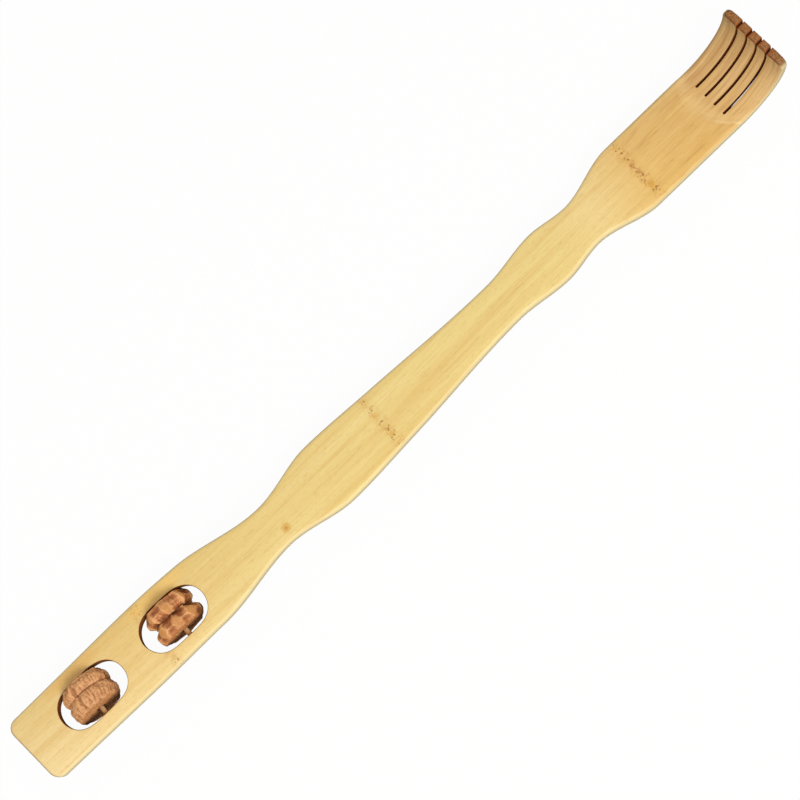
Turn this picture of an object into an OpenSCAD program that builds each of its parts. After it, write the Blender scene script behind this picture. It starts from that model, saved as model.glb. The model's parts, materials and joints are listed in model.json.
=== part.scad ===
// Bamboo back scratcher: one slat with a bent five-finger claw, and two carved rollers on cross pins.
// +X runs from the butt end to the claw, +Z is up, and the fingers curl up.
// The origin is on the flat underside, halfway along its straight length.

/* [Slat] */
// Overall length, from the butt end to the outside of the finger tips
overall_len = 500; // [450:1:600]
// Thickness of the slat
slat_t = 7; // [5:0.5:10]
// Thickness of the fingers at their tips
tip_t = 5; // [3:0.1:6]
// Radius of the rounded long edges
edge_r = 2; // [0.5:0.1:2.4]
// Radius of the butt end's corners, seen from above
corner_r = 6; // [3:0.5:12]

/* [Outline widths] */
// Width at the butt end
butt_w = 38.6; // [34:0.2:46]
// Width at the belly, between the rollers
belly_w = 39.8; // [34:0.2:46]
// Width at the shoulder, where the outline starts to draw in
shoulder_w = 38.3; // [34:0.2:46]
// Width at the waist below the grip
waist_w = 24.2; // [18:0.2:32]
// Width at the widest place of the grip
grip_w = 36.1; // [30:0.2:44]
// Width part of the way down the long taper of the grip
taper_w = 31.8; // [26:0.2:38]
// Width at the neck, the narrow end of the taper
neck_w = 23.4; // [18:0.2:30]
// Width at the bead, the small bulge above the neck
bead_w = 29.8; // [24:0.2:38]
// Width at the throat below the palm
throat_w = 24.4; // [18:0.2:32]
// Width of the palm up to the start of the bend
palm_w = 38.4; // [32:0.2:48]
// Width across the finger tips
tip_w = 39.6; // [32:0.2:48]

/* [Outline stretches] */
// From the butt end to the belly
belly_run = 80; // [60:1:110]
// From the belly to the shoulder
shoulder_run = 38; // [30:1:60]
// From the shoulder to the waist
waist_run = 50; // [35:1:70]
// From the waist to the widest place of the grip
grip_run = 38; // [25:1:60]
// Share of the long taper that lies before the place where its width is given
taper_share = 0.37; // [0.2:0.01:0.8]
// From the neck to the bead
bead_run = 31; // [20:1:45]
// From the bead to the throat
throat_run = 22; // [15:1:35]
// From the throat to the shoulder of the palm
palm_run = 34; // [25:1:50]
// From the shoulder of the palm to the start of the bend
bend_run = 54.5; // [40:0.5:75]

/* [Claw] */
// Radius of the bend on its inner, upper face
claw_r = 27.6; // [22:0.5:40]
// Angle that the claw is bent through
claw_angle = 90; // [60:1:100]
// Number of fingers
finger_count = 5; // [3:1:6]
// Width of each finger between two slots
finger_w = 5.2; // [4:0.05:6]
// Width of the saw slots between the fingers
slot_w = 0.95; // [0.8:0.05:2]
// Length of the slots in the palm, before the bend starts
slot_root = 2.4; // [0:0.5:15]
// Radius of the outer corners of the finger row
tip_corner_r = 4; // [1:0.5:6]
// Rounding of the edges at the finger tips
tip_edge_r = 0.8; // [0.3:0.1:1.2]

/* [Rollers] */
// Diameter of a roller over its lobes
roller_d = 28; // [24:0.5:34]
// Length of a roller along its axle
roller_len = 17.4; // [12:0.1:20]
// Distance between the crests of the two rows of lobes
crest_gap = 9; // [7:0.5:10]
// Width of the flat on each crest
crest_flat = 2; // [0.5:0.1:3]
// Depth of the groove round the middle of a roller
groove_depth = 2.6; // [1:0.1:4]
// Drop in radius from the crests to the ends
end_drop = 2.2; // [1:0.1:5]
// Number of lobes in a row
lobe_count = 8; // [6:1:12]
// Depth of the notches between the lobes, at the crests
lobe_depth = 2; // [1:0.1:3]
// Half of the opening angle of the notches
notch_angle = 74; // [40:1:78]
// Slope of the notches, down from the crests to the groove and to the ends
notch_slope = 24; // [0:1:30]

/* [Windows] */
// Solid length between the butt end and the lower window
butt_margin = 23.3; // [16:0.1:40]
// Solid length between the two windows
window_bridge = 14.8; // [10:0.1:30]
// Free length in a window at each side of its roller
window_end_gap = 6.5; // [3:0.1:9]
// Free width in a window at each end of its roller
window_side_gap = 2.75; // [2:0.05:5]
// Roundness of the windows, from an ellipse at 2 towards a rectangle
window_power = 2.7; // [2:0.1:4]

/* [Axles] */
// Diameter of the axles
axle_d = 2.8; // [2:0.1:3.6]
// Running clearance round an axle in its roller
axle_clear = 0.1; // [0.05:0.01:0.1]
// Glue line round an axle in the slat
glue_gap = 0.02; // [0.01:0.01:0.1]
// Depth of an axle's ends below the slat's sides
axle_recess = 0.3; // [0.2:0.1:1]
// How far the upper roller has slid along its axle, from 0 centred to 1 near the wall
upper_slide = 0.6; // [0:0.05:1]
// How far the lower roller has slid along its axle, from 0 centred to 1 near the wall
lower_slide = 0.95; // [0:0.05:1]
// How far the lower axle lies past the middle of its window, towards the claw
lower_shift = -0.4; // [-2:0.1:2]
// How far the upper axle lies past the middle of its window, towards the claw
upper_shift = 1.4; // [-2:0.1:2]
// Least gap between a roller that has slid all the way and the window's wall
slide_gap = 0.35; // [0.3:0.05:1]

/* [Hidden] */

// The long taper of the grip takes the length that the other stretches leave
claw_reach = (claw_r + tip_t) * sin(min(claw_angle, 90));
straight_len = overall_len - claw_reach;
below_taper = belly_run + shoulder_run + waist_run + grip_run;
above_taper = bead_run + throat_run + palm_run + bend_run;
taper_len = straight_len - below_taper - above_taper;
bend_x = straight_len / 2;
arc_len = claw_r * claw_angle * PI / 180;
slat_len = straight_len + arc_len;

// Distances from the butt end to the places where the outline's width is given, and those widths
grip_place = below_taper;
neck_place = below_taper + taper_len;
places = [
    0,
    belly_run,
    belly_run + shoulder_run,
    belly_run + shoulder_run + waist_run,
    grip_place,
    grip_place + taper_share * taper_len,
    neck_place,
    neck_place + bead_run,
    neck_place + bead_run + throat_run,
    neck_place + bead_run + throat_run + palm_run,
    straight_len,
    slat_len
];
widths = [
    butt_w, belly_w, shoulder_w, waist_w, grip_w, taper_w,
    neck_w, bead_w, throat_w, palm_w, palm_w, tip_w
];
last = len(places) - 1;

window_len = roller_d + 2 * window_end_gap;
window_w = roller_len + 2 * window_side_gap;
lower_window = butt_margin + window_len / 2;
upper_window = lower_window + window_len + window_bridge;
lower_place = lower_window + lower_shift;
upper_place = upper_window + upper_shift;
axle_z = slat_t / 2;

crest_r = roller_d / 2;
groove_r = crest_r - groove_depth;
end_r = crest_r - end_drop;

// Counts that set how finely the round forms are drawn
station_step = 6;
edge_steps = 3;
corner_steps = 5;
bend_steps = 18;
window_steps = 48;
over = 1;

// Rise of the outline between two neighbouring places
function rise(i) = (widths[i + 1] - widths[i]) / (places[i + 1] - places[i]);

// Slope of the outline at a place: level at each widest and narrowest one, so the curve never overshoots
function slope(i) =
    i == 0 || i == last || rise(i - 1) * rise(i) <= 0 ? 0 :
    let (a = places[i] - places[i - 1], b = places[i + 1] - places[i])
    3 * (a + b) / ((2 * b + a) / rise(i - 1) + (b + 2 * a) / rise(i));

// Smooth curve between place i and the next, at a share u of the way
function blend(i, u) =
    let (span = places[i + 1] - places[i])
    widths[i] * (1 + 2 * u) * pow(1 - u, 2) + widths[i + 1] * (3 - 2 * u) * u * u
    + span * u * (1 - u) * (slope(i) * (1 - u) - slope(i + 1) * u);

// Full width of the slat at a distance s from the butt end
function slat_width(s) =
    s >= places[last] ? widths[last] :
    let (i = max([for (k = [0 : last - 1]) if (places[k] <= s) k]))
    blend(i, (s - places[i]) / (places[i + 1] - places[i]));

// Drop of a round corner of radius r at a distance u from the end
function round_drop(r, u) = u >= r ? 0 : r - sqrt(r * r - (r - u) * (r - u));

// Thickness of the slat, which thins along the bend
function thickness(s) = slat_t + (tip_t - slat_t) * max(0, s - straight_len) / arc_len;

// Half width of the slat, with its end corners rounded
function half_width(s) =
    slat_width(s) / 2 - round_drop(corner_r, s) - round_drop(tip_corner_r, slat_len - s);

// How far the faces sink at the rounded edges of the butt end and of the finger tips
function face_drop(s) = round_drop(edge_r, s) + round_drop(tip_edge_r, slat_len - s);

// Cross-section at s, as points of distance across and depth below the upper face
function section(s) =
    let (
        drop = face_drop(s),
        t = thickness(s),
        r = min(edge_r, 0.35 * (t - 2 * drop)),
        h = half_width(s) - r
    )
    [
        for (k = [0 : 3], j = [0 : edge_steps])
        let (q = 90 * (k + j / edge_steps))
        [
            (k < 2 ? h : -h) + r * sin(q),
            (k == 1 || k == 2 ? t - drop - r : drop + r) - r * cos(q)
        ]
    ];

// Point of the slat in space, from its distance along, its distance across and its depth
function bent(s, point) =
    let (a = max(0, s - straight_len) / claw_r * 180 / PI)
    [
        min(s, straight_len) - bend_x + (claw_r + point[1]) * sin(a),
        point[0],
        slat_t + claw_r - (claw_r + point[1]) * cos(a)
    ];

// Distances from the butt end at which the slat's cross-section is drawn
stations = concat(
    [for (k = [0 : corner_steps - 1]) corner_r * (1 - cos(90 * k / corner_steps))],
    let (n = ceil((straight_len - corner_r) / station_step))
    [for (k = [0 : n - 1]) corner_r + (straight_len - corner_r) * k / n],
    [for (k = [0 : bend_steps - 1]) straight_len + (arc_len - tip_corner_r) * k / bend_steps],
    [for (k = [0 : corner_steps]) slat_len - tip_corner_r * (1 - sin(90 * k / corner_steps))]
);

// The slat without its windows, bores and slots, as one solid swept through its cross-sections
module slat() {
    ring = 4 * (edge_steps + 1);
    rings = len(stations);
    sides = [
        for (i = [0 : rings - 2], j = [0 : ring - 1])
        let (a = i * ring + j, b = i * ring + (j + 1) % ring)
        each [[a, b, b + ring], [a, b + ring, a + ring]]
    ];
    polyhedron(
        points = [for (s = stations) each [for (point = section(s)) bent(s, point)]],
        faces = concat(
            sides,
            [[for (j = [ring - 1 : -1 : 0]) j]],
            [[for (j = [0 : ring - 1]) (rings - 1) * ring + j]]
        )
    );
}

// Half width of a window at a distance u from its middle
function window_half(u) =
    window_w / 2 * pow(1 - pow(u / (window_len / 2), window_power), 1 / window_power);

// Outline of a window
module window_outline() {
    bend = 2 / window_power;
    polygon([
        for (k = [0 : window_steps - 1])
        let (q = 360 * k / window_steps, c = cos(q), s = sin(q))
        [
            window_len / 2 * sign(c) * pow(abs(c), bend),
            window_w / 2 * sign(s) * pow(abs(s), bend)
        ]
    ]);
}

// Round bar across the slat at a distance s from the butt end
module cross_bar(s, r, length) {
    translate([s - bend_x, 0, axle_z])
        rotate([90, 0, 0])
            cylinder(h = length, r = r, center = true, $fn = 48);
}

// Saw slots between the fingers
module finger_slots() {
    pitch = finger_w + slot_w;
    reach = slot_root + claw_r + slat_t + over;
    for (k = [1 : finger_count - 1])
        translate([bend_x - slot_root, (k - finger_count / 2) * pitch - slot_w / 2, -over])
            cube([reach, slot_w, slat_t + 2 * claw_r + 2 * over]);
}

module bamboo_handle() {
    color("#E8C982")
        difference() {
            slat();
            for (s = [lower_window, upper_window])
                translate([s - bend_x, 0, -over])
                    linear_extrude(slat_t + 2 * over)
                        window_outline();
            for (s = [lower_place, upper_place])
                cross_bar(s, axle_d / 2 + glue_gap, slat_width(s) + 2 * over);
            finger_slots();
        }
}

// Cutter of a notch along the Z axis, with its root on that axis
module notch() {
    reach = lobe_depth + end_drop + groove_depth;
    translate([0, 0, -reach])
        linear_extrude(reach + roller_len)
            polygon([
                [0, 0],
                [reach, -reach * tan(notch_angle)],
                [reach, reach * tan(notch_angle)]
            ]);
}

// Half of a roller, with one row of lobes, from the middle of the groove up the Z axis
module roller_half() {
    difference() {
        rotate_extrude($fn = 96)
            polygon([
                [0, 0],
                [groove_r, 0],
                [crest_r, (crest_gap - crest_flat) / 2],
                [crest_r, (crest_gap + crest_flat) / 2],
                [end_r, roller_len / 2],
                [0, roller_len / 2]
            ]);
        for (k = [1 : lobe_count], way = [0, 180])
            rotate((k + 0.5) * 360 / lobe_count)
                translate([crest_r - lobe_depth, 0, crest_gap / 2])
                    rotate([way, 0, 0])
                        rotate([0, -notch_slope, 0])
                            notch();
    }
}

// Carved roller along the Z axis, centred on the origin
module roller_body() {
    difference() {
        union() {
            roller_half();
            mirror([0, 0, 1])
                roller_half();
        }
        cylinder(h = roller_len + 2 * over, r = axle_d / 2 + axle_clear, center = true, $fn = 48);
    }
}

// Roller on its axle at s, a shift past the window's middle, slid a share of its end play towards +Y
module roller(s, shift, slide) {
    end_play = window_half(end_r + abs(shift)) - roller_len / 2 - slide_gap;
    translate([s - bend_x, slide * end_play, axle_z])
        rotate([90, 0, 0])
            roller_body();
}

// Axle across the window at s, with its ends just below the slat's sides
module axle(s) {
    cross_bar(s, axle_d / 2, slat_width(s) - 2 * axle_recess);
}

module upper_roller() {
    color("#BE8250")
        roller(upper_place, upper_shift, upper_slide);
}

module lower_roller() {
    color("#C48A5A")
        roller(lower_place, lower_shift, lower_slide);
}

module upper_axle() {
    color("#D9B07A")
        axle(upper_place);
}

module lower_axle() {
    color("#D9B07A")
        axle(lower_place);
}

bamboo_handle();
upper_roller();
lower_roller();
upper_axle();
lower_axle();
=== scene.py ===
"""Looks of a bamboo back scratcher with two massage rollers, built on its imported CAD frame.

Lengths are in millimetres until a mesh is made, which is in metres like the frame. Materials, the camera
and the stage are in metres too, except for tables that say otherwise.
A point of the slat is given as its distance s from the butt end, its distance y across and its depth
below the upper face, all before the claw is bent.
"""

import json
import math

import bpy
import numpy as np
from mathutils import Matrix, Vector, kdtree, noise
from mathutils.geometry import delaunay_2d_cdt


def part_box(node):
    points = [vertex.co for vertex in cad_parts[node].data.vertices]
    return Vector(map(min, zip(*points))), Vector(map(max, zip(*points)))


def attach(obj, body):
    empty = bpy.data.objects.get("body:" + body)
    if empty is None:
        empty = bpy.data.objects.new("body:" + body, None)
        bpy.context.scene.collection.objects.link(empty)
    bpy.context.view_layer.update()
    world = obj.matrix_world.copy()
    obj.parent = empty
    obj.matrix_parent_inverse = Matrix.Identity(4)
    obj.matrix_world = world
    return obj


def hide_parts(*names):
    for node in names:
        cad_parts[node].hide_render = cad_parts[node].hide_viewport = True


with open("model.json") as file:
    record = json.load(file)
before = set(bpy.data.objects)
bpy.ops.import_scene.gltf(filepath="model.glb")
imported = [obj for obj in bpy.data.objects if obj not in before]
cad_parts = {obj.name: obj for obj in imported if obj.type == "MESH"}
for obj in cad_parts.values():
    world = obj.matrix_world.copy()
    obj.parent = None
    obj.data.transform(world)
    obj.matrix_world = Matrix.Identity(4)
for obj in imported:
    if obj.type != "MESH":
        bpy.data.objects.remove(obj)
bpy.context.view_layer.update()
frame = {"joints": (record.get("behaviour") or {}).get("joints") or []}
SCENE = bpy.context.scene

MM = 0.001


def box_mm(node):
    """Lowest and highest corner of a CAD node in millimetres."""
    low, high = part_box(node)
    return np.array(low) / MM, np.array(high) / MM


def joint_mm(body):
    """Place of a body's joint in millimetres."""
    joint = next(j for j in frame["joints"] if j["child"] == body)
    return np.array(joint["pos_m"]) / MM


# Slat
HANDLE_LOW, HANDLE_HIGH = box_mm("bamboo_handle")
BUTT_X = HANDLE_LOW[0]
SLAT_T = 7.0
TIP_T = 5.0
TIP_THIN = 0.35
CLAW_R = 27.6
STRAIGHT = HANDLE_HIGH[0] - BUTT_X - CLAW_R - TIP_T
ARC = CLAW_R * math.pi / 2
SLAT_LEN = STRAIGHT + ARC
PLACES = np.array([0, 80, 118, 168, 206, 250.4, 325.9, 356.9, 378.9, 412.9, STRAIGHT, SLAT_LEN])
WIDTHS = np.array([38.6, 39.8, 38.3, 24.2, 36.1, 31.8, 23.4, 29.8, 24.4, 38.4, 38.4, 39.6])
FULL_W = 40.0
EDGE_R = 2.0
EDGE_MOST = 0.35
CORNER_R = 6.0
TIP_CORNER_R = 4.0
TIP_EDGE_R = 0.6

# Fingers, and the slots between them, some of which lean past their roots
FINGERS = 5
FINGER_W = 5.3
SLOT_W = 1.05
SLOT_ROOT = STRAIGHT - 2.4
SLOT_FLARE = 0.9
SLOT_EDGE_R = 0.25
SLOT_LEAN = 0.55
SLOT_LEAN_START, SLOT_LEAN_FULL = SLOT_ROOT + 2, SLOT_ROOT + 7

# Share of scorched end grain, which fades along the sides from both ends
TIP_BURN = 0.7
TIP_BURN_START, TIP_BURN_FULL = SLAT_LEN - 2.6, SLAT_LEN - 0.8
BUTT_BURN = 0.42
BUTT_BURN_FULL, BUTT_BURN_END = 1.0, 4.5
SLOT_BURN = 1.0
WINDOW_BURN = 0.9

# Windows in the slat, set back from their rollers' joints by shift
# Above, the butt end of a window lies nearer its middle by short, and the whole outline is moved by lean
# Each side, at -Y and at +Y, has a half width, powers along and across for its corners, and a skew
WINDOW_LEN = 41.0
WINDOW_EDGE_R = 0.5
WINDOWS = (
    dict(body="lower_roller", shift=-0.4, length=WINDOW_LEN, short=0.3, lean=0.7,
         sides=((11.35, 4.0, 1.9, 0.7), (11.7, 3.6, 1.95, -0.3))),
    dict(body="upper_roller", shift=1.4, length=WINDOW_LEN - 0.9, short=1.1, lean=0.1,
         sides=((12.0, 3.8, 1.9, 0.5), (11.2, 3.6, 1.85, 0.0))),
)

# Scooped face of the palm
SCOOP_PLACE = 455.5
SCOOP_BOW = 9.5
SCOOP_MIDDLE = 4.0
SCOOP_HALF = 20.0
SCOOP_DEPTH = 0.7
SCOOP_BEFORE, SCOOP_AFTER = 0.6, 1.6
SCOOP_FADE = 25.0

# Bend of the claw, which starts a little sooner on the +Y side
BEND_SKEW = 0.9

# Slant of the butt end, which was cut by eye
BUTT_SLANT = 2.8
BUTT_SLANT_RUN = 40.0

# Sideways bow of the split slat, from the rollers to the palm
BOW = 1.7
BOW_START, BOW_FULL, BOW_FADE, BOW_END = 92.0, 165.0, 215.0, 400.0

# Unevenness left by sanding: share of the width, and depth of the waves in both faces
SANDED = 0.006
FACE_WAVE = 0.06

# Rollers, each on an axle across a window
ROLLER_LEN = 17.4
CREST_R = 14.0
BORE_R = 2.45
LOBES = 8
UPPER_TURN = 9.0
LOWER_TURN = -13.0

# Camera
LOOK_AT = Vector((0.0223, 0.0003, 0.0035))
CAMERA_TILT = math.radians(13.8)
CAMERA_LEAN = math.radians(3.6)
CAMERA_FAR = 1.0835
CAMERA_LENS = 99.3
CAMERA_SENSOR = 36.0
IMAGE_ALONG = Vector((0.71983, 0.69416))

# Stage
FLOOR_Z = -0.0106
FLOOR_HALF = 1.6
SKY = 0.6
KEY_PLACE = (0.0, -1.286, 1.532)
KEY_SIZE = 1.1
KEY_WATTS = 22.0


def paint(red, green, blue):
    """Linear colour of a display colour from 0 to 255."""
    def linear(value):
        value /= 255
        return value / 12.92 if value <= 0.04045 else ((value + 0.055) / 1.055) ** 2.4
    return (linear(red), linear(green), linear(blue), 1.0)


# Meshes

def make_object(name, points, faces, attributes):
    """Mesh object from points in millimetres, with smooth faces and point attributes."""
    mesh = bpy.data.meshes.new(name)
    mesh.from_pydata([tuple(p) for p in np.asarray(points) * MM], [], faces)
    mesh.validate()
    mesh.shade_smooth()
    for key, values in attributes.items():
        values = np.asarray(values, np.float32)
        flat = values.ndim == 1
        layer = mesh.attributes.new(key, "FLOAT" if flat else "FLOAT_VECTOR", "POINT")
        layer.data.foreach_set("value" if flat else "vector", values.ravel())
    made = bpy.data.objects.new(name, mesh)
    SCENE.collection.objects.link(made)
    return made


def smooth_step(value, low, high):
    share = np.clip((value - low) / (high - low), 0, 1)
    return share * share * (3 - 2 * share)


def soft_least(values, blend):
    """Smallest of several arrays, rounded where they cross."""
    stack = np.stack(values) / -blend
    top = stack.max(axis=0)
    return -blend * (top + np.log(np.exp(stack - top).sum(axis=0)))


def rough(points, scale, seed):
    """Smooth noise from -1 to 1 at rows of points, with features about 1 / scale wide."""
    shift = Vector((seed * 7.31, seed * 3.17, seed * 5.53))
    return np.array([noise.noise(Vector(p) * scale + shift) for p in points])


def even(start, stop, step):
    """Values from start to stop, without stop, about one step apart."""
    count = max(1, round(abs(stop - start) / step))
    return np.linspace(start, stop, count, endpoint=False)


def ring_mean(values, reach):
    """Running mean round a closed loop."""
    return sum(np.roll(values, k) for k in range(-reach, reach + 1)) / (2 * reach + 1)


def band_faces(first, second, count):
    """Faces between two rings of points, given by their first points."""
    after = [(i + 1) % count for i in range(count)]
    return [(first + i, first + j, second + j, second + i) for i, j in enumerate(after)]


# Slat outline

SIDE_STEP = 2.2
TIP_STEP = 0.8
SLOT_STEP = 1.2
CORNER_STEPS, TIP_CORNER_STEPS = 9, 8
FLARE_STEPS, ROOT_STEPS = 6, 8
RADIUS_BLEND, BURN_BLEND = 3, 2
WINDOW_DENSE, WINDOW_POINTS = 1601, 104


def outline_slopes():
    """Slopes that keep the outline level at each widest and narrowest place."""
    steps = np.diff(PLACES)
    rises = np.diff(WIDTHS) / steps
    slopes = np.zeros(len(PLACES))
    for i in range(1, len(PLACES) - 1):
        if rises[i - 1] * rises[i] > 0:
            a, b = steps[i - 1], steps[i]
            slopes[i] = 3 * (a + b) / ((2 * b + a) / rises[i - 1] + (b + 2 * a) / rises[i])
    return slopes


SLOPES = outline_slopes()


def slat_width(s):
    s = np.clip(s, PLACES[0], PLACES[-1])
    i = np.clip(np.searchsorted(PLACES, s, side="right") - 1, 0, len(PLACES) - 2)
    run = PLACES[i + 1] - PLACES[i]
    u = (s - PLACES[i]) / run
    ends = WIDTHS[i] * (1 + 2 * u) * (1 - u) ** 2 + WIDTHS[i + 1] * (3 - 2 * u) * u * u
    return ends + run * u * (1 - u) * (SLOPES[i] * (1 - u) - SLOPES[i + 1] * u)


def round_drop(radius, u):
    u = np.minimum(u, radius)
    return radius - np.sqrt(radius ** 2 - (radius - u) ** 2)


def half_width(s):
    return slat_width(s) / 2 - round_drop(CORNER_R, s) - round_drop(TIP_CORNER_R, SLAT_LEN - s)


def thickness(s):
    return SLAT_T + (TIP_T - TIP_THIN - SLAT_T) * np.maximum(0, s - STRAIGHT) / ARC


def quarter(steps):
    """Angles of a quarter turn, without its end."""
    return np.radians(np.linspace(0, 90, steps, endpoint=False))


def arc(centre, radius, start, stop, count):
    """Points of an arc, angles in degrees, without its last point."""
    angles = np.radians(np.linspace(start, stop, count, endpoint=False))
    return [(centre[0] + radius * math.cos(a), centre[1] + radius * math.sin(a)) for a in angles]


def side_points():
    """Distances along one side of the slat, from the butt's corner to the outer finger's corner."""
    corner = CORNER_R * (1 - np.cos(quarter(CORNER_STEPS)))
    straight = even(CORNER_R, SLAT_LEN - TIP_CORNER_R, SIDE_STEP)
    tip = SLAT_LEN - TIP_CORNER_R * (1 - np.sin(quarter(TIP_CORNER_STEPS)))
    return np.concatenate([corner, straight, tip])


def slot_points(across):
    """Outline round one slot, from the finger on its near side to the one on its far side."""
    half = SLOT_W / 2
    near, far = across - half, across + half
    top, low = SLAT_LEN - SLOT_FLARE, SLOT_ROOT + half
    return (
        arc((top, near - SLOT_FLARE), SLOT_FLARE, 0, 90, FLARE_STEPS)
        + [(s, near) for s in even(top, low, SLOT_STEP)]
        + arc((low, across), half, 270, 90, ROOT_STEPS)
        + [(s, far) for s in even(low, top, SLOT_STEP)]
        + arc((top, far + SLOT_FLARE), SLOT_FLARE, -90, 0, FLARE_STEPS)
    )


def end_burn(s):
    """Share of end grain on the sides, near the finger tips and round the corners of the butt end."""
    tip = TIP_BURN * smooth_step(s, TIP_BURN_START, TIP_BURN_FULL)
    return tip + BUTT_BURN * (1 - smooth_step(s, BUTT_BURN_FULL, BUTT_BURN_END))


def outer_loop():
    """Outline of the slat, anticlockwise, with the radius, share of scorching and lean of its edge."""
    points, radii, burns, leans = [], [], [], []

    def add_run(run, radius, burn, lean=0.0):
        points.extend(run)
        radii.extend([radius] * len(run))
        burns.extend(np.broadcast_to(burn, len(run)))
        leans.extend([(0.0, lean * smooth_step(s, SLOT_LEAN_START, SLOT_LEAN_FULL)) for s, y in run])

    side = side_points()
    add_run([(s, -half_width(s)) for s in side], EDGE_R, end_burn(side))
    end = slat_width(SLAT_LEN) / 2 - TIP_CORNER_R
    start = -end
    reach = SLOT_W / 2 + SLOT_FLARE
    for k in range(1, FINGERS):
        across = (k - FINGERS / 2) * (FINGER_W + SLOT_W)
        add_run([(SLAT_LEN, y) for y in even(start, across - reach, TIP_STEP)], TIP_EDGE_R, TIP_BURN)
        add_run(slot_points(across), SLOT_EDGE_R, SLOT_BURN, SLOT_LEAN if across < -FINGER_W else 0.0)
        start = across + reach
    add_run([(SLAT_LEN, y) for y in (*even(start, end, TIP_STEP), end)], TIP_EDGE_R, TIP_BURN)
    add_run([(s, half_width(s)) for s in side[::-1]], EDGE_R, end_burn(side[::-1]))
    butt = half_width(0.0)
    add_run([(0.0, y) for y in even(butt, -butt, SIDE_STEP)[1:]], EDGE_R, BUTT_BURN)
    blended = ring_mean(np.array(radii), RADIUS_BLEND), ring_mean(np.array(burns), BURN_BLEND)
    return np.array(points), *blended, np.array(leans)


def window_place(window):
    """Distance from the butt end to the middle of a window."""
    return joint_mm(window["body"])[0] - BUTT_X - window["shift"]


def window_loop(window):
    """Outline of a window, clockwise so that the wood lies on its left, with values like the slat's."""
    angles = np.radians(np.linspace(360, 0, WINDOW_DENSE))
    c, s = np.cos(angles), np.sin(angles)
    half, power, across, skew = [np.where(s < 0, near, far) for near, far in zip(*window["sides"])]
    reach = np.abs(s) ** (2 / across)
    dense = np.stack([
        window["length"] / 2 * np.sign(c) * np.abs(c) ** (2 / power) + skew * reach,
        half * np.sign(s) * reach,
    ], axis=1)
    run = np.concatenate([[0], np.cumsum(np.linalg.norm(np.diff(dense, axis=0), axis=1))])
    stops = np.linspace(0, run[-1], WINDOW_POINTS, endpoint=False)
    points = np.stack([np.interp(stops, run, dense[:, k]) for k in (0, 1)], axis=1)
    butt = np.maximum(0, -points[:, 0]) / (window["length"] / 2)
    leans = np.stack([-window["lean"] - window["short"] * butt, 0 * butt], axis=1)
    points[:, 0] += window_place(window) - leans[:, 0]
    count = len(points)
    return points, np.full(count, WINDOW_EDGE_R), np.full(count, WINDOW_BURN), leans


# Slat mesh

RIM_STEPS = 5
WALL_STEPS = 3
GRID_START, GRID_ALONG = 1.5, 2.1
GRID_HALF, GRID_ACROSS = 19.0, 1.9
GRID_CLEAR = 1.15
WINDOW_CLEAR = 1.0
FILL_INSIDE, FILL_NEAR = 4, 1e-6


def rim_rows(points, radii, burns, leans, pale):
    """Rows of points over a rounded edge, down the leaning wall and under it.

    Each row also has depth, scorch and, if the wall is pale, its share of wall, which places a painted
    highlight and painted light on the slat's sides.
    """
    ahead = np.roll(points, -1, axis=0) - np.roll(points, 1, axis=0)
    inward = np.stack([-ahead[:, 1], ahead[:, 0]], axis=1)
    inward /= np.linalg.norm(inward, axis=1)[:, None]
    turns = np.radians(np.linspace(90, 0, RIM_STEPS + 1))
    over = [(1 - math.cos(turn), 1 - math.sin(turn), math.cos(turn) ** 2) for turn in turns]
    rows = [(inset, sink, 0, wall) for inset, sink, wall in over]
    rows += [(0, 1, k / WALL_STEPS, 1) for k in range(1, WALL_STEPS)]
    rows += [(inset, sink, 1, wall) for inset, sink, wall in over[::-1]]
    made = []
    for inset, sink, down, wall in rows:
        place = points + inward * (radii * inset)[:, None]
        thick = thickness(place[:, 0])
        radius = np.minimum(radii, EDGE_MOST * thick)
        upper, lower = radius * sink, thick - radius * sink
        depth = upper + (lower - upper) * down
        place = place + leans * (depth / thick)[:, None]
        made.append((place, depth, burns * math.sqrt(wall), np.full(len(points), wall * pale)))
    return made


def in_window(s, y, window):
    """Whether a point lies in a window's outline above or below, or close to it."""
    half, power, across = window["sides"][0 if y < 0 else 1][:3]
    past = s - window_place(window)
    along = min(abs(past), abs(past - window["lean"])) / (WINDOW_LEN / 2 + WINDOW_CLEAR)
    return along ** power + (abs(y) / (half + WINDOW_CLEAR)) ** across < 1


def inner_points(edge_points):
    """Even grid of points inside the slat, kept clear of the edges."""
    tree = kdtree.KDTree(len(edge_points))
    for i, (s, y) in enumerate(edge_points):
        tree.insert((s, y, 0), i)
    tree.balance()
    kept = []
    for s in np.arange(GRID_START, SLAT_LEN, GRID_ALONG):
        for y in np.arange(-GRID_HALF, GRID_HALF + 0.1, GRID_ACROSS):
            outside = abs(y) > half_width(s) or any(in_window(s, y, window) for window in WINDOWS)
            if not outside and tree.find((s, y, 0))[2] > GRID_CLEAR:
                kept.append((s, y))
    return np.array(kept)


def palm_scoop(s, y):
    """How far the palm's scooped face lies below the slat's upper face."""
    start = SCOOP_PLACE + SCOOP_BOW * ((y - SCOOP_MIDDLE) / SCOOP_HALF) ** 2
    fade = 1 - smooth_step(s, STRAIGHT, STRAIGHT + SCOOP_FADE)
    return SCOOP_DEPTH * smooth_step(s, start - SCOOP_BEFORE, start + SCOOP_AFTER) * fade


def bent(s, y, depth):
    """Points in space of points of the slat."""
    start = STRAIGHT - BEND_SKEW * np.clip(0.5 + y / FULL_W, 0, 1)
    turn = np.maximum(0, s - start) / CLAW_R
    reach = CLAW_R + depth
    return np.stack([
        np.minimum(s, start) + BUTT_X + reach * np.sin(turn),
        y,
        SLAT_T + CLAW_R - reach * np.cos(turn),
    ], axis=1)


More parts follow.
